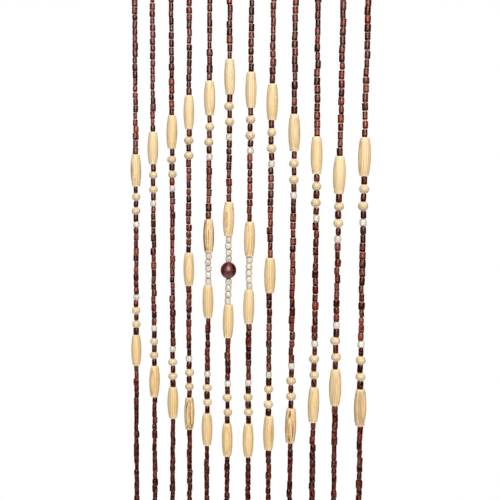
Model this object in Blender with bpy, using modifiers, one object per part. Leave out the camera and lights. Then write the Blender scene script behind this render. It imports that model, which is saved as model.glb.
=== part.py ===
"""Bead curtain: twelve strands of strung wooden beads that hang from a narrow heading strip.

Metres, +Z up. The origin is the middle of the heading's top edge, +X runs to the right as seen from the front,
and the front faces -Y. Each strand is one four-sided turned solid whose outline swells at its olive, round,
white and big beads and is straight where plain tube beads follow each other. All strands are rooted in the heading.
"""
from collections import namedtuple
import math

import bpy

MM = 0.001

# Overall sizes
DROP = 1.80
STRAND_PITCH = 0.025
HEADING_LENGTH = 0.300
HEADING_HEIGHT = 0.018
HEADING_DEPTH = 0.008
ROOT_DEPTH = 0.012
PATTERN_CENTRE = -0.5 * DROP

# Beads: largest radius, radius at the flat ends, and length along the thread
Bead = namedtuple("Bead", "radius end_radius length")
TUBE = Bead(2.6 * MM, 2.6 * MM, 7.2 * MM)
OLIVE = Bead(5.35 * MM, 3.8 * MM, 33.0 * MM)
ROUND = Bead(4.4 * MM, 2.6 * MM, 7.5 * MM)
WHITE = Bead(3.1 * MM, 2.6 * MM, 6.3 * MM)
BIG = Bead(7.6 * MM, 2.6 * MM, 15.8 * MM)

STRAND_SIDES = 4
OUTLINE_STEPS = {OLIVE: 6, ROUND: 4, WHITE: 2, BIG: 8}

# From an outer olive bead towards the middle of the strand
GROUP = [OLIVE, TUBE, ROUND, TUBE, ROUND, TUBE, WHITE]

# What is strung about the height of the big bead
PLAIN = []
SINGLE = [OLIVE]
PAIR = [OLIVE] + 5 * [WHITE] + [OLIVE]
CENTRE = [OLIVE] + 4 * [WHITE] + [BIG] + 4 * [WHITE] + [OLIVE]

# One row a strand, from left to right. side: its shift from even spacing. upper and lower: the outer ends of its
# two bead groups, up and down from the big bead. rise: how far the middle beads sit above the big bead's height.
# white: whether a white bead ends the upper group. middle: those beads. Lengths in millimetres.
Strand = namedtuple("Strand", "side upper lower rise white middle")
STRANDS = [
    Strand(-0.5, 111, 111, 0.0, True, PLAIN),
    Strand(+0.5, 134, 141, 0.0, True, PLAIN),
    Strand(+1.0, 150, 159, 0.0, True, PLAIN),
    Strand(-0.5, 169, 166, -2.5, False, SINGLE),
    Strand(-1.0, 182, 178, 0.0, True, PAIR),
    Strand(-0.5, 201, 184, 0.4, True, CENTRE),
    Strand(+0.5, 188, 179, 0.0, True, PAIR),
    Strand(+0.5, 176, 167, 0.0, True, SINGLE),
    Strand(0.0, 148, 155, 0.0, True, PLAIN),
    Strand(-0.5, 128, 131, 0.0, True, PLAIN),
    Strand(-0.5, 111, 111, 0.0, True, PLAIN),
    Strand(0.0, 127, 125, 0.0, True, PLAIN),
]

WOOD_COLOUR = (0.19, 0.055, 0.04, 1.0)
WOOD_ROUGHNESS = 0.35
MERGE = 0.00001


def clear_scene():
    for thing in list(bpy.data.objects):
        bpy.data.objects.remove(thing, do_unlink=True)


def make_collection(name):
    collection = bpy.data.collections.new(name)
    bpy.context.scene.collection.children.link(collection)
    return collection


def wood_material():
    material = bpy.data.materials.new("stained_wood")
    material.use_nodes = True
    shader = material.node_tree.nodes["Principled BSDF"]
    shader.inputs["Base Color"].default_value = WOOD_COLOUR
    shader.inputs["Roughness"].default_value = WOOD_ROUGHNESS
    shader.inputs["Metallic"].default_value = 0.0
    material.diffuse_color = WOOD_COLOUR
    return material


def length_of(beads):
    return sum(bead.length for bead in beads)


def bead_outline(bead, top):
    """The bead's (radius, height) points from its top end down: flat ends and a bulge that is a circle's arc."""
    half = 0.5 * bead.length
    bulge = bead.radius - bead.end_radius
    arc_radius = (half * half + bulge * bulge) / (2.0 * bulge)
    steps = OUTLINE_STEPS[bead]
    points = []
    for step in range(steps + 1):
        offset = half * (1.0 - 2.0 * step / steps)
        radius = bead.radius - arc_radius + math.sqrt(arc_radius * arc_radius - offset * offset)
        points.append((radius, top - half + offset))
    return points


def chain_outline(beads, top):
    """The outline of beads strung one after another, where tube beads stay straight and add no points."""
    points = []
    for bead in beads:
        if bead in OUTLINE_STEPS:
            points += bead_outline(bead, top)
        top -= bead.length
    return points


def upper_group(strand):
    """The beads of the upper group, which on one strand stop at a round bead."""
    return GROUP if strand.white else GROUP[:5]


def strand_outline(strand):
    """The whole strand's profile from its root in the heading to its lower end."""
    top = -HEADING_HEIGHT + ROOT_DEPTH
    points = [(0.0, top), (TUBE.radius, top)]
    points += chain_outline(upper_group(strand), PATTERN_CENTRE + strand.upper * MM)
    middle_top = PATTERN_CENTRE + strand.rise * MM + 0.5 * length_of(strand.middle)
    points += chain_outline(strand.middle, middle_top)
    points += chain_outline(GROUP[::-1], PATTERN_CENTRE - strand.lower * MM + length_of(GROUP))
    points += [(TUBE.radius, -DROP), (0.0, -DROP)]
    return without_repeats(points)


def without_repeats(points):
    """Neighbouring beads of one end radius share a point, which is kept once."""
    kept = [points[0]]
    for point in points[1:]:
        if math.dist(point, kept[-1]) > MERGE:
            kept.append(point)
    return kept


def strand_x(number, strand):
    """Strands stand evenly about the middle, each a little to one side as hung."""
    return (number - 0.5 * (len(STRANDS) - 1)) * STRAND_PITCH + strand.side * MM


def make_strand(number, strand, collection):
    profile = [(radius, 0.0, height) for radius, height in strand_outline(strand)]
    edges = [(i, i + 1) for i in range(len(profile) - 1)]
    mesh = bpy.data.meshes.new("strand_profile")
    mesh.from_pydata(profile, edges, [])
    guide = bpy.data.objects.new("strand_%02d" % (number + 1), mesh)
    guide.location.x = strand_x(number, strand)
    guide.hide_render = True
    guide.display_type = "WIRE"
    collection.objects.link(guide)

    turn = guide.modifiers.new("Turn", "SCREW")
    turn.axis = "Z"
    turn.angle = math.tau
    turn.steps = STRAND_SIDES
    turn.render_steps = STRAND_SIDES
    turn.use_merge_vertices = True
    turn.merge_threshold = MERGE
    return guide


def make_heading(collection):
    bpy.ops.mesh.primitive_cube_add(size=1.0, location=(0.0, 0.0, -0.5 * HEADING_HEIGHT))
    heading = bpy.context.object
    heading.name = "bead_strands"
    heading.data.name = "bead_strands"
    heading.scale = (HEADING_LENGTH, HEADING_DEPTH, HEADING_HEIGHT)
    bpy.ops.object.transform_apply(location=False, rotation=False, scale=True)
    for owner in list(heading.users_collection):
        owner.objects.unlink(heading)
    collection.objects.link(heading)
    heading.data.materials.append(wood_material())
    return heading


def root_in(heading, strand):
    """The strand's root is fused into the heading."""
    union = heading.modifiers.new("Root " + strand.name, "BOOLEAN")
    union.operation = "UNION"
    union.object = strand
    union.solver = "EXACT"


def main():
    clear_scene()
    parts = make_collection("bead_curtain")
    guides = make_collection("strand_guides")
    heading = make_heading(parts)
    for number, strand in enumerate(STRANDS):
        root_in(heading, make_strand(number, strand, guides))


main()
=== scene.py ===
"""The bead curtain's looks: the beads on their threads, the wooden heading, all finishes, light and camera.

Each strand is strung here as a maker would string it. A row of the table below says where its bead groups
hang, tube beads fill what is left, and every bead is a turned, drilled shape of its own size, tilt and tone.
"""
from collections import namedtuple
import math

import bpy
from mathutils import Euler, Matrix, Vector
import numpy as np


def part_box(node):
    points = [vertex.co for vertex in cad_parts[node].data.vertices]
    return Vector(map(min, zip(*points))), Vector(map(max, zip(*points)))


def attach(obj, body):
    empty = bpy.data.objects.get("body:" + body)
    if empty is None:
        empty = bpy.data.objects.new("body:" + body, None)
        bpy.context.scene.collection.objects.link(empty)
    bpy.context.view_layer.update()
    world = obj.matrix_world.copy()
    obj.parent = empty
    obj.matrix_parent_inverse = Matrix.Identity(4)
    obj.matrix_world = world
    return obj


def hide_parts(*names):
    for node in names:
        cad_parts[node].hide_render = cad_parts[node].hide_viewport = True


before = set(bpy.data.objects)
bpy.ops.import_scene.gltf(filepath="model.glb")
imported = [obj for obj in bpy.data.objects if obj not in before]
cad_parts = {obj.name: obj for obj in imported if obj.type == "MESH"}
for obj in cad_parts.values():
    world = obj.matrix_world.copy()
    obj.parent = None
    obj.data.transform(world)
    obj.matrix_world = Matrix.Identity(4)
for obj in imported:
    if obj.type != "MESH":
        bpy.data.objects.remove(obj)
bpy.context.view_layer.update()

MM = 0.001
RNG = np.random.default_rng(12)

# Overall sizes. The drop and the heading's length follow the frame. The beads start just under the heading
# and end just above the lower knot.
NODE = "bead_strands"
LOW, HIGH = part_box(NODE)
DROP = HIGH.z - LOW.z
HEADING_LENGTH = HIGH.x - LOW.x
HEADING_HEIGHT = 18 * MM
HEADING_DEPTH = 8 * MM
STRAND_PITCH = 25 * MM
PATTERN_CENTRE = -0.5 * DROP
FIRST_BEAD = -HEADING_HEIGHT - 1.2 * MM
LAST_BEAD = -DROP + 7.5 * MM

# Beads: length along the thread, which for tubes is the mean, largest radius, radius of the flat ends and of
# the hole, the material's slot, and how many sides the bead is turned with
Kind = namedtuple("Kind", "name length radius end hole slot sides")
TUBE = Kind("tube", 7.2 * MM, 2.5 * MM, 2.0 * MM, 0.9 * MM, 0, 12)
OLIVE = Kind("olive", 33.0 * MM, 5.35 * MM, 3.8 * MM, 1.2 * MM, 1, 32)
ROUND = Kind("round", 7.5 * MM, 4.4 * MM, 2.0 * MM, 1.1 * MM, 1, 24)
WHITE = Kind("white", 6.3 * MM, 3.05 * MM, 1.6 * MM, 1.0 * MM, 2, 20)
BIG = Kind("big", 15.8 * MM, 7.6 * MM, 1.8 * MM, 1.3 * MM, 3, 48)

# Millimetres that a tube's shoulders are rounded by, with their spread, and that its middle bulges by, as
# tumbling leaves them, and how far inside a square corner the middle of a rounded one lies, beside its radius
TUBE_SHOULDERS = (0.3, 0.45, 0.65, 0.95)
SHOULDER_SPREAD = (0.85, 1.15)
TUBE_BARRELS = (0.0, 0.0, 0.15, 0.3)
ARC_CUT = 0.29

# Width of an olive's broken edges, how far a barrel's corners reach towards its largest radius, and the steps
# in the outlines of olives, balls and barrels
OLIVE_EDGE = 0.35 * MM
CORNER_REACH = 0.94
OLIVE_STEPS = 16
BALL_STEPS = {"round": 9, "big": 22}
BARREL_STEPS = 4

# How unlike the beads of a kind are: the radius and its roundness as shares, the tilt in degrees, and the
# shift off the thread in metres with its limit
RADIUS_SPREAD = {"tube": 0.085, "olive": 0.02, "round": 0.035, "white": 0.04, "big": 0.0}
OUT_OF_ROUND = {"tube": 0.035, "olive": 0.012, "round": 0.015, "white": 0.03, "big": 0.0}
TILT = {"tube": 2.0, "olive": 0.6, "round": 4.0, "white": 5.0, "big": 0.0}
SHIFT = {"tube": 0.22 * MM, "olive": 0.1 * MM, "round": 0.25 * MM, "white": 0.2 * MM, "big": 0.0}
SHIFT_LIMIT = 0.45 * MM

# Tube lengths as shares of the mean, with their limits, and millimetres of play between any two beads
LENGTH_SPREAD = 0.06
LENGTH_LIMITS = (0.86, 1.14)
PLAY = (0.03, 0.14)

# At heights from the pattern's centre in metres, light and shade painted into the beads: how light the
# tubes are, mostly lighter high up and darker low down; how rosy they are, rosier high up as a painted
# sheen; how marked their joints are, more so high up as painted highlight and shade; and how light the
# olives are, lighter high up
TUBE_TONE_AND_PAINTED_LIGHT = ((-0.6, -0.26, -0.1, 0.05, 0.13, 0.2), (0.75, 0.16, 0.92, 1.4, 1.45, 0.82))
TUBE_ROSE_AND_SHEEN = ((-0.15, 0.2), (0.6, 1.18))
TUBE_PAINTED_CONTRAST = ((-0.2, -0.05, 0.12), (0.08, 0.36, 1.2))
OLIVE_TONE_AND_PAINTED_LIGHT = ((-0.2, 0.2), (0.5, 0.66))

# Share of the chance differences in lightness that tubes without marked joints keep, and that olives keep,
# and the ranges of the rounds' lightness and of the strength of their rings
TUBE_UNLIKE = 0.72
OLIVE_UNLIKE = 0.2
ROUND_TONE = (0.05, 0.35)
ROUND_RINGS = (0.2, 1.0)

# Tubes strung among pale beads are darker by this share
DARKER = 0.5

# Beads are cut from anywhere in wood that reaches this many millimetres each way
GRAIN_REACH = 500

# streak: how brown an olive is streaked, or by what share a tube is darker
Bead = namedtuple("Bead", "kind centre length streak")

# From an outer olive bead towards the middle of the strand, and the same up to the last round bead
GROUP = [OLIVE, TUBE, ROUND, TUBE, ROUND, TUBE, WHITE]
SHORT_GROUP = GROUP[:5]

# What is strung about the height of the big bead
PLAIN = []
SINGLE = [OLIVE]
PAIR = [OLIVE] + 5 * [WHITE] + [OLIVE]
CENTRE = [OLIVE] + 4 * [WHITE] + [BIG] + 4 * [WHITE] + [OLIVE]

# One row a strand, from left to right, in millimetres. side: its shift from even spacing. upper and lower:
# the outer ends of its two bead groups, up and down from the big bead. rise: how far the middle beads sit
# above the big bead's height. white: whether the upper group ends in its white bead or stops short. middle:
# those beads. marks: how brown each olive bead is streaked, from the top, 0 to 1.
Strand = namedtuple("Strand", "side upper lower rise white middle marks")
STRANDS = [
    Strand(-0.5, 111, 111, 0.0, True, PLAIN, (0.1, 0.2)),
    Strand(+0.5, 134, 141, 0.0, True, PLAIN, (0.1, 0.1)),
    Strand(+1.0, 150, 159, 0.0, True, PLAIN, (0.0, 0.2)),
    Strand(-0.5, 169, 166, -2.5, False, SINGLE, (0.0, 0.2, 0.9)),
    Strand(-1.0, 182, 178, 0.0, True, PAIR, (0.1, 1.0, 0.3, 0.3)),
    Strand(-0.5, 201, 184, 0.4, True, CENTRE, (0.1, 0.0, 0.3, 0.1)),
    Strand(+0.5, 188, 179, 0.0, True, PAIR, (0.1, 0.2, 0.2, 0.2)),
    Strand(+0.5, 176, 167, 0.0, True, SINGLE, (0.3, 0.1, 0.2)),
    Strand(0.0, 148, 155, 0.0, True, PLAIN, (0.4, 1.0)),
    Strand(-0.5, 128, 131, 0.0, True, PLAIN, (0.0, 0.2)),
    Strand(-0.5, 111, 111, 0.0, True, PLAIN, (0.1, 0.4)),
    Strand(0.0, 127, 125, 0.0, True, PLAIN, (0.2, 0.6)),
]

# How unevenly the strands hang: side to side and back to front, over about half the drop. The sway starts
# from nothing at the heading and has its full measure at SWAY_START below it.
SWAY = (0.8 * MM, 0.6 * MM)
SWAY_LENGTH = 0.9
SWAY_START = 0.2

# Thread and its knots. Heights are in millimetres: the thread and the upper knot from the heading's top
# edge, the lower knot and the tail from the end of the lowest bead. KNOT_OPENING is the share of the knot's
# loop that stays open at either end, and its leaves and depth are shares of its radius.
THREAD_RADIUS = 0.42 * MM
THREAD_SIDES = 6
THREAD_SLOT = 4
THREAD_IN_HEADING = (-2.2, -6.0, -12.0, -18.0)
THREAD_TAIL = (-2.0, -4.0, -5.5, -7.3)
UPPER_KNOT = -1.9
LOWER_KNOT = -1.6
KNOT_RADIUS = 1.5 * MM
KNOT_STEPS = 54
KNOT_OPENING = 0.04
KNOT_LEAF = 0.36
KNOT_DEPTH = 0.62

# Any direction that no thread starts in, and how long and how wide a thread's tips are beside its radius
ASIDE = (0.3, 1.0, 0.2)
TIP_LENGTH = 0.4
TIP_WIDTH = 0.5

# Heading: the width of its softened edges, and the drill's outline as radius and height in millimetres,
# countersink first, where points closer than MERGE become one
HEADING_BEVEL = 0.9 * MM
BEVEL_SEGMENTS = 3
DRILL = [(0.0, 1.0), (3.4, 1.0), (2.3, -0.6), (1.0, -3.6), (1.0, -19.0), (0.0, -19.0)]
DRILL_SIDES = 20
MERGE = 0.00001

# UV patches: the gap between them, the size of one at a thread's end and along a bead's hole, and what is
# added to each row of a thread, as some are short
UV_GAP = 0.5 * MM
UV_CAP = 0.6 * MM
UV_ROW = 0.15 * MM

# How many rows of a thread share a patch, and how much larger each square is than the last one tried
PATCH_ROWS = 12
SQUARE_GROWTH = 1.01

# Edges are sharp where faces meet at more than these angles
SHARP_BEAD = math.radians(48)
SHARP_HEADING = math.radians(35)

# The camera, from the photograph: strands 25 mm apart and upright, twelve of them, in one plane
CAMERA_PLACE = Vector((0.548, -0.688, PATTERN_CENTRE + 0.112))
CAMERA_TURN = math.radians(37.85)
CAMERA_PITCH = math.radians(-5.9)
CAMERA_ROLL = math.radians(0.4)
CAMERA_ANGLE = math.radians(30.2)
CAMERA_NEAR = 0.01

# Share of the light that pale wood and paint let in under the surface, and the width of the wave texture's
# bands at a scale of 1
GLOW = 0.3
WAVE_WIDTH = math.tau / 20

# Studio light, beside a white of 1: the fill, the ceiling with its edge as heights on the sky's unit sphere,
# and the room as the beads reflect it
FILL = 0.15
CEILING = 1.6
CEILING_EDGE = (0.82, 0.92)
REFLECTED_ROOM = 0.015

# Lamps, all aimed at the pattern's centre. azimuth: degrees round the curtain from the front towards +X.
# rise: height above that centre. size: width and height. power: in watts. diffuse and mirrored: whether
# they light surfaces and whether they show in reflections.
Lamp = namedtuple("Lamp", "name azimuth distance rise size power diffuse mirrored")
LAMPS = [
    Lamp("key", 49, 2.1, 1.05, (1.0, 1.0), 26.0, True, True),
    Lamp("top", 38, 1.5, 1.9, (2.4, 1.5), 36.0, True, False),
    Lamp("softbox", 38, 2.2, 1.15, (2.2, 2.8), 108.0, False, True),
    Lamp("back", 218, 2.2, 0.8, (1.6, 1.6), 30.0, True, False),
]

# A round floor, this far below the curtain's lower end
FLOOR_RADIUS = 1.3
FLOOR_SIDES = 96
FLOOR_GAP = 0.03


def srgb(red, green, blue):
    """A screen colour, 0 to 255 a channel, as the linear colour that a shader takes."""
    return tuple((c / 255) ** 2.2 for c in (red, green, blue)) + (1.0,)


# Meshes made of many turned parts, each with patches of its own in one UV map

class Parts:
    """Turned and drawn-out parts gathered into one mesh, with what the materials read at each point."""

    def __init__(self):
        self.points, self.faces, self.slots = [], [], []
        self.grain, self.tone, self.rim = [], [], []
        self.patches, self.patch_of, self.corners = [], [], []
        self.count = 0

    def grid(self, points, grain, tone, rim, slot, width, heights, chop=None):
        """Rows of points, each row closed in a ring.

        Without chop the last row joins the first, as round a drilled hole. With chop the rows run on from
        end to end, that many to a UV patch, and six-sided ends are capped.
        """
        rows, sides = points.shape[:2]
        index = self.count + np.arange(rows * sides).reshape(rows, sides)
        below = np.roll(index, -1, axis=0)
        beside, across_below = np.roll(index, -1, axis=1), np.roll(below, -1, axis=1)
        last = rows - 1 if chop else rows
        quads = np.stack([index, below, across_below, beside], axis=2)[:last]
        across = np.arange(sides + 1) * width / sides
        left, right = across[:-1], across[1:]
        chops = np.arange(last) // (chop or last)
        starts = heights[chops * (chop or last)]
        top, bottom = (heights[:last] - starts)[:, None], (heights[1:last + 1] - starts)[:, None]
        corners = [(left, top), (left, bottom), (right, bottom), (right, top)]
        uv = np.stack([np.stack(np.broadcast_arrays(*corner), axis=2) for corner in corners], axis=2)
        self.points.append(points.reshape(-1, 3))
        self.grain.append(grain.reshape(-1, 3))
        self.tone.append(np.tile(tone, (rows * sides, 1)))
        self.rim.append(np.repeat(rim, sides))
        self.faces.append(quads.reshape(-1, 4))
        self.slots.append(np.full(last * sides, slot))
        self.patch_of.append(np.repeat(chops, sides) + len(self.patches))
        self.corners.append(uv.reshape(-1, 4, 2))
        for start in range(0, last, chop or last):
            self.patches.append((width, heights[min(start + (chop or last), last)] - heights[start]))
        if chop:
            self.cap(index[0, ::-1], slot)
            self.cap(index[-1], slot)
        self.count += rows * sides

    def cap(self, ring, slot):
        """Closes a six-sided end with two quads."""
        self.faces.append(np.array([ring[:4], ring[[3, 4, 5, 0]]]))
        self.slots.append(np.full(2, slot))
        self.patch_of.append(np.full(2, len(self.patches)))
        turn = np.arange(len(ring)) * math.tau / len(ring)
        flat = 0.5 * UV_CAP * np.stack([1 + np.cos(turn), 1 + np.sin(turn)], axis=1)
        self.corners.append(np.array([flat[:4], flat[[3, 4, 5, 0]]]))
        self.patches.append((UV_CAP, UV_CAP))

    def build(self, name, materials):
        """The mesh object, with its UV patches laid side by side."""
        mesh = bpy.data.meshes.new(name)
        faces = np.concatenate(self.faces)
        mesh.from_pydata(np.concatenate(self.points).tolist(), [], faces.tolist())
        mesh.polygons.foreach_set("material_index", np.concatenate(self.slots).astype(np.int32))
        for label, kind, key, values in (
            ("grain", "FLOAT_VECTOR", "vector", self.grain),
            ("tone", "FLOAT_VECTOR", "vector", self.tone),
            ("rim", "FLOAT", "value", self.rim),
        ):
            layer = mesh.attributes.new(label, kind, "POINT")
            layer.data.foreach_set(key, np.concatenate(values).astype(np.float32).ravel())
        places, side = laid_out(self.patches)
        corners = np.concatenate(self.corners) + places[np.concatenate(self.patch_of)][:, None]
        mesh.uv_layers.new(name="OFBake").data.foreach_set("uv", (corners / side).astype(np.float32).ravel())
        for material in materials:
            mesh.materials.append(material)
        mesh.shade_smooth()
        mesh.set_sharp_from_angle(angle=SHARP_BEAD)
        piece = bpy.data.objects.new(name, mesh)
        bpy.context.collection.objects.link(piece)
        return piece


def laid_out(patches):
    """Lower left corners for rectangles set in rows in one square, and the square's side."""
    sizes = np.array(patches)
    order = np.argsort(-sizes[:, 1], kind="stable")
    side = math.sqrt(((sizes[:, 0] + UV_GAP) * (sizes[:, 1] + UV_GAP)).sum())
    while True:
        places = np.zeros_like(sizes)
        x = y = UV_GAP
        row = sizes[order[0], 1]
        for i in order:
            if x + sizes[i, 0] + UV_GAP > side:
                x, y = UV_GAP, y + row + UV_GAP
                row = sizes[i, 1]
            places[i] = (x, y)
            x += sizes[i, 0] + UV_GAP
        if y + row + UV_GAP <= side:
            return places, side
        side *= SQUARE_GROWTH


# Beads

def tube_profile(kind, length, radius):
    """Cut from dowel and tumbled: some keep square shoulders, others come out barrel shaped.

    Like every profile here it goes round from hole to hole. A row is a radius, a height and how far the
    point counts as cut edge, which the finishes read as rim.
    """
    half = 0.5 * length
    shoulder = RNG.choice(TUBE_SHOULDERS) * RNG.uniform(*SHOULDER_SPREAD) * MM
    barrel = RNG.choice(TUBE_BARRELS) * MM
    bite = ARC_CUT * shoulder
    edge = radius - 0.5 * barrel
    return [
        (kind.hole, half, 0.7),
        (edge - shoulder, half, 1.0),
        (edge - bite, half - bite, 0.9),
        (edge, half - shoulder, 0.15),
        (radius + 0.35 * barrel, 0.45 * half, 0.0),
        (radius + 0.5 * barrel, 0.0, 0.0),
        (radius + 0.35 * barrel, -0.45 * half, 0.0),
        (edge, -half + shoulder, 0.15),
        (edge - bite, -half + bite, 0.9),
        (edge - shoulder, -half, 1.0),
        (kind.hole, -half, 0.7),
    ]


def olive_profile(kind, length, radius):
    """A long bead turned to a circle's arc between two flat cut ends with broken edges."""
    half = 0.5 * length
    bulge = radius - kind.end
    arc = (half * half + bulge * bulge) / (2 * bulge)
    reach = half - 0.6 * OLIVE_EDGE
    rows = [(kind.hole, half, 0.5), (kind.end - OLIVE_EDGE, half, 1.0)]
    for step in range(OLIVE_STEPS + 1):
        at = half * (1 - 2 * step / OLIVE_STEPS)
        at = max(min(at, reach), -reach)
        from_end = min(step, OLIVE_STEPS - step)
        rim = 1.0 if from_end == 0 else 0.35 if from_end == 1 else 0.0
        rows.append((radius - arc + math.sqrt(arc * arc - at * at), at, rim))
    return rows + [(kind.end - OLIVE_EDGE, -half, 1.0), (kind.hole, -half, 0.5)]


def ball_profile(kind, length, radius):
    """A ball with its ends flattened by the drill."""
    half = 0.5 * length
    start = math.asin(min(kind.end / radius, 1.0))
    steps = BALL_STEPS[kind.name]
    rows = [(kind.hole, half, 0.8)]
    for step in range(steps + 1):
        angle = start + (math.pi - 2 * start) * step / steps
        height = half * math.cos(angle) / math.cos(start)
        rows.append((radius * math.sin(angle), height, 0.6 if step in (0, steps) else 0.0))
    return rows + [(kind.hole, -half, 0.8)]


def barrel_profile(kind, length, radius):
    """A short moulded barrel: flat ends, well rounded edges and slightly crowned sides."""
    half = 0.5 * length
    corner = radius - kind.end
    rows = [(kind.hole, half, 1.0)]
    for step in range(BARREL_STEPS + 1):
        angle = 0.5 * math.pi * step / BARREL_STEPS
        out = kind.end + CORNER_REACH * corner * math.sin(angle)
        rows.append((out, half - corner * (1 - math.cos(angle)), 1.0 - step / BARREL_STEPS))
    rows.append((radius, 0.0, 0.0))
    return rows + [(r, -z, rim) for r, z, rim in rows[-2::-1]]


PROFILES = {
    "tube": tube_profile,
    "olive": olive_profile,
    "round": ball_profile,
    "white": barrel_profile,
    "big": ball_profile,
}

def add_bead(parts, bead, place):
    """Turns the bead's profile about its hole, tilts it on the thread and adds it."""
    kind = bead.kind
    spread = RADIUS_SPREAD[kind.name]
    radius = kind.radius * (1 + np.clip(RNG.normal(0, spread), -2 * spread, 2 * spread))
    rows = np.array(PROFILES[kind.name](kind, bead.length, radius))
    angles = np.arange(kind.sides) * math.tau / kind.sides
    uneven = OUT_OF_ROUND[kind.name]
    swell = 1 + uneven * (np.cos(2 * angles) + 0.5 * np.cos(3 * angles + RNG.uniform(0, math.tau)))
    ring = np.stack([np.cos(angles), np.sin(angles)], axis=1) * swell[:, None]
    turned = np.empty((len(rows), kind.sides, 3))
    turned[..., :2] = rows[:, None, :1] * ring
    turned[..., 2] = rows[:, 1:2]

    tilt = math.radians(TILT[kind.name])
    pose = Euler((RNG.normal(0, tilt), RNG.normal(0, tilt), RNG.uniform(0, math.tau))).to_matrix()
    shift = np.append(RNG.normal(0, SHIFT[kind.name], 2).clip(-SHIFT_LIMIT, SHIFT_LIMIT), 0.0)
    placed = turned @ np.array(pose.transposed()) + shift + place

    steps = np.hypot(np.diff(rows[:, 0], append=rows[0, 0]), np.diff(rows[:, 1], append=rows[0, 1]))
    steps[-1] = UV_CAP
    heights = np.concatenate([[0.0], np.cumsum(steps)])
    grain = turned / MM + RNG.uniform(-GRAIN_REACH, GRAIN_REACH, 3)
    if kind is ROUND:
        grain = grain[..., ::-1]
    tone = toned(bead, place[2] - PATTERN_CENTRE, [RNG.uniform(), RNG.uniform(), RNG.uniform()])
    parts.grid(placed, grain, tone, rows[:, 2], kind.slot, math.tau * radius, heights)


def toned(bead, rise, shares):
    """Fits a bead's three random shares to its kind and to its height above the pattern's centre.

    They say how light it is, then how rosy a tube is or how strong the rings in pale wood are, and last how
    marked a tube's ends are or how streaked an olive is. The height paints light and shade on tubes and
    olives: mostly lighter high in the pattern and darker low down, tubes rosier high up as a painted sheen,
    and their ends more marked high up as painted highlight and shade.
    """
    light, hue, mark = shares
    if bead.kind is TUBE:
        # How marked the ends are and how far the lightness spreads, by height: painted highlight and shade,
        # stronger high up
        joints = np.interp(rise, *TUBE_PAINTED_CONTRAST)
        light = 0.5 + (TUBE_UNLIKE + (1 - TUBE_UNLIKE) * joints) * (light - 0.5)
        # Painted light and shade by height: mostly lighter high up, darker low down
        light *= np.interp(rise, *TUBE_TONE_AND_PAINTED_LIGHT) * (1 - bead.streak)
        # Rosier high up: a painted sheen
        return [light, hue * np.interp(rise, *TUBE_ROSE_AND_SHEEN), mark * joints]
    if bead.kind is OLIVE:
        # Olives are lighter high up: painted light
        return [np.interp(rise, *OLIVE_TONE_AND_PAINTED_LIGHT) + OLIVE_UNLIKE * (light - 0.5), hue, bead.streak]
    if bead.kind is ROUND:
        return [np.interp(light, (0, 1), ROUND_TONE), np.interp(hue, (0, 1), ROUND_RINGS), 0.0]
    return shares


# Threads and knots

def along(points, parts):
    """Draws a thread with closed ends along a line of points."""
    points = np.array(points)
    tangents = np.gradient(points, axis=0)
    tangents /= np.linalg.norm(tangents, axis=1)[:, None]
    side = np.cross(tangents[0], ASIDE)
    rings = []
    for point, tangent in zip(points, tangents):
        side = side - tangent * side.dot(tangent)
        side /= np.linalg.norm(side)
        up = np.cross(tangent, side)
        angles = np.arange(THREAD_SIDES) * math.tau / THREAD_SIDES
        rings.append(point + THREAD_RADIUS * (np.cos(angles)[:, None] * side + np.sin(angles)[:, None] * up))
    rings = np.array(rings)
    tip = TIP_LENGTH * THREAD_RADIUS
    first = points[0] + TIP_WIDTH * (rings[0] - points[0]) - tip * tangents[0]
    last = points[-1] + TIP_WIDTH * (rings[-1] - points[-1]) + tip * tangents[-1]
    rings = np.concatenate([[first], rings, [last]])
    lengths = np.linalg.norm(np.diff(rings.mean(axis=1), axis=0), axis=1) + UV_ROW
    heights = np.concatenate([[0.0], np.cumsum(lengths)])
    twist = np.arange(THREAD_SIDES) / THREAD_SIDES
    grain = np.empty(rings.shape)
    grain[..., 0] = np.cos(math.tau * twist)
    grain[..., 1] = np.sin(math.tau * twist)
    grain[..., 2] = heights[:, None] / MM
    tone, rim = (0.5, 0.5, 0.5), np.zeros(len(rings))
    parts.grid(rings, grain, tone, rim, THREAD_SLOT, math.tau * THREAD_RADIUS, heights, chop=PATCH_ROWS)


def knot_points(place):
    """One overhand knot, pulled tight: a three-leaved loop that passes over and under itself."""
    points = []
    for step in range(KNOT_STEPS + 1):
        turn = math.tau * (KNOT_OPENING + (1 - 2 * KNOT_OPENING) * step / KNOT_STEPS)
        points.append((
            place[0] + KNOT_RADIUS * KNOT_LEAF * (math.sin(turn) + 2 * math.sin(2 * turn)),
            place[1] + KNOT_RADIUS * KNOT_LEAF * (math.cos(turn) - 2 * math.cos(2 * turn)),
            place[2] - KNOT_RADIUS * KNOT_DEPTH * math.sin(3 * turn),
        ))
    return points


# Stringing

def strand_x(number, strand):
    """Strands stand evenly about the middle, each a little to one side as hung."""
    return (number - 0.5 * (len(STRANDS) - 1)) * STRAND_PITCH + strand.side * MM


def filled(top, bottom):
    """Tube beads of slightly unlike lengths that fill a stretch of thread."""
    count = round((top - bottom) / TUBE.length)
    lengths = RNG.normal(1.0, LENGTH_SPREAD, count).clip(*LENGTH_LIMITS)
    lengths *= (top - bottom) / lengths.sum()
    ends = top - np.cumsum(lengths)
    return [Bead(TUBE, end + 0.5 * length, length, 0.0) for end, length in zip(ends, lengths)]


def strung(kinds, top, marks):
    """The given beads one after another from a height down.

    The olives take their streaks in turn, and tubes among pale beads are the darker ones.
    """
    beads = []
    for kind in kinds:
        streak = marks.pop(0) if kind is OLIVE else DARKER
        beads.append(Bead(kind, top - 0.5 * kind.length, kind.length, streak))
        top -= kind.length
    return beads


def length_of(kinds):
    return sum(kind.length for kind in kinds)


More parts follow.
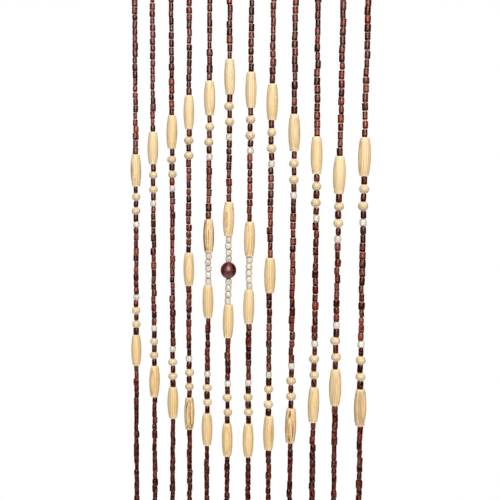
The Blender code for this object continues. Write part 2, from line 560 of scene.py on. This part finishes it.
def beads_of(strand):
    """All beads of a strand, from the top down."""
    marks = list(strand.marks)
    group = length_of(GROUP)
    upper = PATTERN_CENTRE + strand.upper * MM
    middle = PATTERN_CENTRE + strand.rise * MM
    middle_top = middle + 0.5 * length_of(strand.middle)
    middle_bottom = middle - 0.5 * length_of(strand.middle)
    lower = PATTERN_CENTRE - strand.lower * MM
    upper_group = GROUP if strand.white else SHORT_GROUP
    upper_bottom = upper - length_of(upper_group)
    beads = filled(FIRST_BEAD, upper) + strung(upper_group, upper, marks)
    if strand.middle:
        beads += filled(upper_bottom, middle_top)
        beads += strung(strand.middle, middle_top, marks)
        beads += filled(middle_bottom, lower + group)
    else:
        beads += filled(upper_bottom, lower + group)
    return beads + strung(GROUP[::-1], lower + group, marks) + filled(lower, LAST_BEAD)


def sway_at(height, phases):
    """How far a strand hangs from plumb at a height."""
    turn = math.tau * height / SWAY_LENGTH
    fade = min(1.0, -height / SWAY_START)
    return np.array([
        SWAY[0] * fade * math.sin(turn + phases[0]),
        SWAY[1] * fade * math.sin(turn + phases[1]),
        0.0,
    ])


def make_strand(number, strand, materials):
    """Beads, thread and end knots of one strand, as one piece."""
    parts = Parts()
    x = strand_x(number, strand)
    phases = RNG.uniform(0, math.tau, 2)

    def on_thread(height):
        return np.array([x, 0.0, height]) + sway_at(height, phases)

    beads = beads_of(strand)
    for bead in beads:
        shown = bead._replace(length=bead.length - RNG.uniform(*PLAY) * MM)
        add_bead(parts, shown, on_thread(bead.centre))
    tail = [LAST_BEAD + height * MM for height in THREAD_TAIL]
    run = [height * MM for height in THREAD_IN_HEADING] + [bead.centre for bead in beads]
    run += [LAST_BEAD, tail[0]]
    along([on_thread(height) for height in run], parts)
    for height in (UPPER_KNOT * MM, LAST_BEAD + LOWER_KNOT * MM):
        along(knot_points(on_thread(height)), parts)
    along([on_thread(height) for height in tail], parts)
    return parts.build("strand_%02d" % (number + 1), materials)


# Heading

def drill(x):
    """A thread hole with a countersink on top for the knot, as a cutter."""
    mesh = bpy.data.meshes.new("drill")
    edges = [(i, i + 1) for i in range(len(DRILL) - 1)]
    mesh.from_pydata([(radius * MM, 0.0, height * MM) for radius, height in DRILL], edges, [])
    cutter = bpy.data.objects.new("drill", mesh)
    cutter.location.x = x
    bpy.context.collection.objects.link(cutter)
    turn = cutter.modifiers.new("Turn", "SCREW")
    turn.steps = turn.render_steps = DRILL_SIDES
    turn.use_merge_vertices = True
    turn.merge_threshold = MERGE
    return cutter


def make_heading(material):
    """The wooden strip that carries the threads, with softened edges and a drilled hole for each."""
    bpy.ops.mesh.primitive_cube_add(size=1.0, location=(0.0, 0.0, -0.5 * HEADING_HEIGHT))
    heading = bpy.context.object
    heading.name = "heading_strip"
    heading.scale = (HEADING_LENGTH, HEADING_DEPTH, HEADING_HEIGHT)
    bpy.ops.object.transform_apply(location=True, rotation=False, scale=True)
    bevel = heading.modifiers.new("Softened edges", "BEVEL")
    bevel.width = HEADING_BEVEL
    bevel.segments = BEVEL_SEGMENTS
    drills = []
    for number, strand in enumerate(STRANDS):
        drills.append(drill(strand_x(number, strand)))
        cut = heading.modifiers.new("Thread hole", "BOOLEAN")
        cut.operation = "DIFFERENCE"
        cut.solver = "EXACT"
        cut.object = drills[-1]
    evaluated = heading.evaluated_get(bpy.context.evaluated_depsgraph_get())
    mesh = bpy.data.meshes.new_from_object(evaluated)
    heading.modifiers.clear()
    heading.data = mesh
    for cutter in drills:
        bpy.data.objects.remove(cutter, do_unlink=True)
    mesh.materials.clear()
    mesh.materials.append(material)
    mesh.shade_smooth()
    mesh.set_sharp_from_angle(angle=SHARP_HEADING)
    return heading


# Materials

class Finish:
    """A node material built up around its Principled shader."""

    def __init__(self, name):
        self.material = bpy.data.materials.new(name)
        self.material.use_nodes = True
        self.tree = self.material.node_tree
        self.shader = self.tree.nodes["Principled BSDF"]

    def node(self, kind, inputs=(), **settings):
        node = self.tree.nodes.new("ShaderNode" + kind)
        for key, value in settings.items():
            setattr(node, key, value)
        for key, value in dict(inputs).items():
            self.feed(node.inputs[key], value)
        return node

    def feed(self, socket, value):
        if isinstance(value, bpy.types.NodeSocket):
            self.tree.links.new(value, socket)
        else:
            socket.default_value = value

    def attribute(self, name, output="Vector"):
        return self.node("Attribute", attribute_name=name).outputs[output]

    def parts_of(self, vector):
        return tuple(self.node("SeparateXYZ", {"Vector": vector}).outputs)

    def scaled(self, vector, scale):
        return self.node("Mapping", {"Vector": vector, "Scale": scale}).outputs["Vector"]

    def noise(self, vector, scale, detail=3.0, rough=0.55, warp=0.0):
        inputs = {"Vector": vector, "Scale": scale, "Detail": detail, "Roughness": rough, "Distortion": warp}
        return self.node("TexNoise", inputs).outputs["Fac"]

    def rings(self, vector, spacing, waver):
        """Growth rings as layers across X, each rising to its late wood."""
        inputs = {"Vector": vector, "Scale": WAVE_WIDTH / spacing, "Distortion": waver, "Detail": 2.0}
        return self.node("TexWave", inputs, wave_profile="SAW").outputs["Fac"]

    def range(self, value, low, high, to_low=0.0, to_high=1.0):
        inputs = {"Value": value, "From Min": low, "From Max": high, "To Min": to_low, "To Max": to_high}
        return self.node("MapRange", inputs).outputs["Result"]

    def times(self, first, second):
        return self.node("Math", {0: first, 1: second}, operation="MULTIPLY").outputs[0]

    def plus(self, first, second):
        return self.node("Math", {0: first, 1: second}, operation="ADD").outputs[0]

    def mix(self, share, first, second):
        """Sockets 0, 6 and 7 are the factor and the two colours, and output 2 the mixed colour."""
        return self.node("Mix", {0: share, 6: first, 7: second}, data_type="RGBA").outputs[2]

    def ramp(self, value, stops):
        node = self.node("ValToRGB", {"Fac": value})
        points = node.color_ramp.elements
        while len(points) < len(stops):
            points.new(0.5)
        for point, (place, colour) in zip(points, stops):
            point.position = place
            point.color = colour
        return node.outputs["Color"]

    def glow(self, reach):
        """Lets light spread under the surface, by its reach in millimetres for red, green and blue."""
        self.shader.inputs["Subsurface Weight"].default_value = GLOW
        self.shader.inputs["Subsurface Radius"].default_value = reach
        self.shader.inputs["Subsurface Scale"].default_value = MM

    def finish(self, colour, roughness, height, depth):
        self.feed(self.shader.inputs["Base Color"], colour)
        self.feed(self.shader.inputs["Roughness"], roughness)
        bump = self.node("Bump", {"Height": height, "Distance": depth, "Strength": 1.0})
        self.feed(self.shader.inputs["Normal"], bump.outputs["Normal"])
        return self.material


def tube_finish():
    """Dowel stained red-brown and varnished: unlike stain from bead to bead, darkened ends, pale cut edges
    that are partly wear and partly a painted highlight, and rosier high up as a painted sheen.
    """
    f = Finish("stained_tube_wood")
    grain = f.attribute("grain")
    light, hue, mark = f.parts_of(f.attribute("tone"))
    rim = f.attribute("rim", "Fac")
    stain = f.ramp(light, [
        (0.0, srgb(50, 10, 4)),
        (0.35, srgb(91, 21, 10)),
        (0.7, srgb(141, 46, 27)),
        (1.0, srgb(184, 89, 62)),
    ])
    # Rosy share: tone that differs at random, and rosier high up as a painted sheen
    rosy_and_sheen = f.range(hue, 0.5, 1.0, 0.0, 0.9)
    rose = f.mix(f.range(light, 0.0, 0.9), srgb(84, 32, 28), srgb(142, 82, 77))
    stain = f.mix(rosy_and_sheen, stain, rose)
    umber = f.ramp(light, [(0.0, srgb(40, 18, 9)), (1.0, srgb(142, 92, 66))])
    stain = f.mix(f.range(hue, 0.08, 0.2, 0.8, 0.0), stain, umber)
    fibres = f.noise(f.scaled(grain, (1.0, 1.0, 0.07)), 0.9, 4.0, 0.6, 0.4)
    stain = f.mix(f.range(fibres, 0.4, 0.56, 0.85, 0.0), stain, srgb(36, 6, 3))
    blotch = f.noise(f.scaled(grain, (1.0, 1.0, 0.8)), 0.42, 2.0)
    blotches = f.times(f.range(blotch, 0.52, 0.64), f.range(light, 0.0, 0.5, 0.3, 0.65))
    stain = f.mix(blotches, stain, srgb(186, 98, 76))
    pores = f.noise(f.scaled(grain, (1.0, 1.0, 0.06)), 4.0, 3.0, 0.6)
    stain = f.mix(f.range(pores, 0.5, 0.62, 0.0, 0.5), stain, srgb(40, 10, 8))
    # Darkens each tube's ends where beads meet, the more so high up
    dark_ends = f.times(f.range(rim, 0.0, 0.07), f.range(mark, 0.0, 0.4, 0.1, 1.0))
    stain = f.mix(dark_ends, stain, srgb(30, 6, 3))
    # Pale rims at the cut edges: partly wear, partly a painted highlight where light from above would catch
    # the shoulders, strongest high up
    worn_and_highlit_rim = f.times(f.range(rim, 0.2, 0.8), f.range(f.noise(grain, 0.8, 3.0), 0.36, 0.52, 0.1, 1.0))
    worn_and_highlit_rim = f.times(worn_and_highlit_rim, f.range(mark, 0.08, 0.45, 0.0, 1.0))
    worn_and_highlit_rim = f.times(worn_and_highlit_rim, f.range(light, 0.0, 0.4, 0.5, 1.0))
    colour = f.mix(worn_and_highlit_rim, stain, srgb(234, 182, 164))
    roughness = f.range(fibres, 0.35, 0.65, 0.18, 0.32)
    f.shader.inputs["Specular Tint"].default_value = (1.0, 0.66, 0.55, 1.0)
    return f.finish(colour, roughness, fibres, 0.06 * MM)


def pale_finish():
    """Natural pale wood: lengthwise grain, amber late wood, and a few beads with brown heartwood streaks."""
    f = Finish("pale_wood")
    grain = f.attribute("grain")
    light, hue, mark = f.parts_of(f.attribute("tone"))
    rim = f.attribute("rim", "Fac")
    wood = f.ramp(light, [
        (0.0, srgb(220, 197, 159)),
        (0.3, srgb(238, 217, 179)),
        (0.45, srgb(245, 210, 151)),
        (0.7, srgb(246, 219, 170)),
        (1.0, srgb(249, 229, 196)),
    ])
    bands = f.rings(f.scaled(grain, (1.0, 1.0, 0.05)), 1.9, 3.0)
    strength = f.range(hue, 0.0, 1.0, 0.35, 0.85)
    wood = f.mix(f.times(f.range(bands, 0.55, 1.0), strength), wood, srgb(202, 148, 82))
    fibres = f.noise(f.scaled(grain, (1.0, 1.0, 0.02)), 2.2, 3.0, 0.6)
    wood = f.mix(f.range(fibres, 0.52, 0.66, 0.0, 0.4), wood, srgb(214, 170, 110))
    heart = f.noise(f.scaled(grain, (1.0, 1.0, 0.03)), 0.42, 2.0, 0.5, 1.2)
    streak = f.times(f.range(heart, 0.5, 0.58), f.range(mark, 0.25, 1.0, 0.0, 0.95))
    wood = f.mix(streak, wood, srgb(138, 80, 38))
    # Paler at the cut ends: a painted highlight on the end rings
    colour = f.mix(f.times(rim, 0.5), wood, srgb(252, 238, 208))
    roughness = f.range(fibres, 0.3, 0.7, 0.46, 0.64)
    f.glow((1.2, 1.1, 1.0))
    return f.finish(colour, roughness, f.plus(fibres, f.times(bands, 0.3)), 0.04 * MM)


def white_finish():
    """Small off-white barrels, glossy and dull in patches, with painted shade at the ends where beads meet.
    """
    f = Finish("off_white_paint")
    grain = f.attribute("grain")
    light = f.parts_of(f.attribute("tone"))[0]
    rim = f.attribute("rim", "Fac")
    paint = f.mix(light, srgb(227, 217, 198), srgb(242, 235, 223))
    cloud = f.noise(grain, 0.5, 3.0)
    paint = f.mix(f.range(cloud, 0.46, 0.66, 0.0, 0.6), paint, srgb(204, 184, 154))
    # Darker at the ends: painted shade where the beads meet
    colour = f.mix(f.times(rim, f.range(cloud, 0.3, 0.6, 0.7, 1.0)), paint, srgb(164, 148, 124))
    ripples = f.noise(grain, 1.6, 3.0)
    f.glow((0.8, 0.8, 0.7))
    return f.finish(colour, f.range(ripples, 0.3, 0.7, 0.24, 0.4), ripples, 0.05 * MM)


def big_finish():
    """The middle bead: dark burgundy under clear lacquer, the grain just showing."""
    f = Finish("burgundy_lacquer")
    grain = f.attribute("grain")
    rim = f.attribute("rim", "Fac")
    fibres = f.noise(f.scaled(grain, (1.0, 1.0, 0.14)), 0.5, 4.0, 0.6, 0.8)
    colour = f.mix(f.range(fibres, 0.4, 0.6), srgb(44, 7, 7), srgb(126, 46, 43))
    # Darker round the drilled ends: painted shade where the bead meets its neighbours
    colour = f.mix(f.times(rim, 0.6), colour, srgb(40, 10, 12))
    f.shader.inputs["Coat Weight"].default_value = 0.3
    f.shader.inputs["Coat Roughness"].default_value = 0.25
    return f.finish(colour, f.range(fibres, 0.3, 0.7, 0.3, 0.45), fibres, 0.06 * MM)


def thread_finish():
    """Twisted cream thread."""
    f = Finish("cream_thread")
    grain = f.attribute("grain")
    settings = {"Vector": grain, "Scale": 1.1, "Distortion": 0.6, "Detail": 1.0}
    twist = f.node("TexWave", settings, bands_direction="DIAGONAL").outputs["Fac"]
    colour = f.mix(twist, srgb(196, 172, 142), srgb(236, 220, 196))
    fuzz = f.noise(grain, 3.0, 3.0)
    return f.finish(colour, f.range(fuzz, 0.3, 0.7, 0.6, 0.85), twist, 0.08 * MM)


def heading_finish():
    """The strip's stained wood: bands of grain along it, with pores."""
    f = Finish("stained_strip_wood")
    place = f.scaled(f.node("TexCoord").outputs["Object"], 3 * (1 / MM,))
    grain = f.scaled(place, (0.02, 1.0, 1.0))
    rings = f.noise(grain, 0.35, 3.0, 0.5, 0.8)
    bands = f.node("Math", {0: f.times(rings, 9.0)}, operation="FRACT").outputs[0]
    stain = f.mix(f.range(bands, 0.3, 1.0), srgb(118, 50, 38), srgb(74, 28, 22))
    pores = f.noise(f.scaled(place, (0.08, 1.6, 1.6)), 1.6, 3.0, 0.7)
    colour = f.mix(f.range(pores, 0.55, 0.75, 0.0, 0.8), stain, srgb(44, 16, 12))
    height = f.plus(f.times(pores, -1.0), f.times(bands, 0.2))
    return f.finish(colour, f.range(pores, 0.3, 0.7, 0.34, 0.55), height, 0.06 * MM)


# Studio

def make_camera():
    data = bpy.data.cameras.new("Camera")
    data.angle = CAMERA_ANGLE
    data.clip_start = CAMERA_NEAR
    camera = bpy.data.objects.new("Camera", data)
    turn = Matrix.Rotation(CAMERA_TURN, 4, "Z")
    pitch = Matrix.Rotation(math.pi / 2 + CAMERA_PITCH, 4, "X")
    roll = Matrix.Rotation(CAMERA_ROLL, 4, "Z")
    camera.matrix_world = Matrix.Translation(CAMERA_PLACE) @ turn @ pitch @ roll
    bpy.context.collection.objects.link(camera)
    bpy.context.scene.camera = camera


def make_light(lamp):
    data = bpy.data.lights.new(lamp.name, "AREA")
    data.shape = "RECTANGLE"
    data.size, data.size_y = lamp.size
    data.energy = lamp.power
    light = bpy.data.objects.new(lamp.name, data)
    turn = math.radians(lamp.azimuth)
    centre = Vector((0.0, 0.0, PATTERN_CENTRE))
    offset = Vector((lamp.distance * math.sin(turn), -lamp.distance * math.cos(turn), lamp.rise))
    light.location = centre + offset
    light.rotation_euler = (-offset).to_track_quat("-Z", "Y").to_euler()
    light.visible_camera = False
    light.visible_diffuse = lamp.diffuse
    light.visible_glossy = lamp.mirrored
    bpy.context.collection.objects.link(light)


def make_world():
    """White behind the curtain, a dim fill under a bright ceiling, and a dark room in its reflections."""
    world = bpy.data.worlds.new("Studio")
    world.use_nodes = True
    nodes, links = world.node_tree.nodes, world.node_tree.links
    nodes.clear()

    def white_light():
        light = nodes.new("ShaderNodeBackground")
        light.inputs["Color"].default_value = (1.0, 1.0, 1.0, 1.0)
        return light

    split = nodes.new("ShaderNodeSeparateXYZ")
    links.new(nodes.new("ShaderNodeTexCoord").outputs["Generated"], split.inputs[0])
    overhead = nodes.new("ShaderNodeMapRange")
    overhead.inputs["From Min"].default_value, overhead.inputs["From Max"].default_value = CEILING_EDGE
    overhead.inputs["To Min"].default_value = FILL
    overhead.inputs["To Max"].default_value = CEILING
    links.new(split.outputs["Z"], overhead.inputs["Value"])
    room = white_light()
    links.new(overhead.outputs["Result"], room.inputs["Strength"])
    shown = room.outputs[0]
    rays = nodes.new("ShaderNodeLightPath")
    for strength, ray in ((REFLECTED_ROOM, "Is Glossy Ray"), (1.0, "Is Camera Ray")):
        light = white_light()
        light.inputs["Strength"].default_value = strength
        mix = nodes.new("ShaderNodeMixShader")
        links.new(rays.outputs[ray], mix.inputs[0])
        links.new(shown, mix.inputs[1])
        links.new(light.outputs[0], mix.inputs[2])
        shown = mix.outputs[0]
    output = nodes.new("ShaderNodeOutputWorld")
    links.new(shown, output.inputs["Surface"])
    bpy.context.scene.world = world


def make_floor():
    bpy.ops.mesh.primitive_circle_add(
        vertices=FLOOR_SIDES,
        radius=FLOOR_RADIUS,
        fill_type="NGON",
        location=(0.0, 0.0, -DROP - FLOOR_GAP),
    )
    floor = bpy.context.object
    floor.name = "floor"
    f = Finish("pale_floor")
    speck = f.noise(f.node("TexCoord").outputs["Object"], 60.0, 3.0)
    colour = f.mix(f.range(speck, 0.3, 0.7), srgb(244, 243, 241), srgb(250, 249, 247))
    floor.data.materials.append(f.finish(colour, 0.8, speck, 0.1 * MM))


def main():
    materials = [tube_finish(), pale_finish(), white_finish(), big_finish(), thread_finish()]
    pieces = [make_strand(number, strand, materials) for number, strand in enumerate(STRANDS)]
    pieces.append(make_heading(heading_finish()))
    for piece in pieces:
        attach(piece, "root")
        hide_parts(NODE)
    make_camera()
    make_world()
    for lamp in LAMPS:
        make_light(lamp)
    make_floor()
    bpy.context.scene.view_settings.view_transform = "Standard"


main()
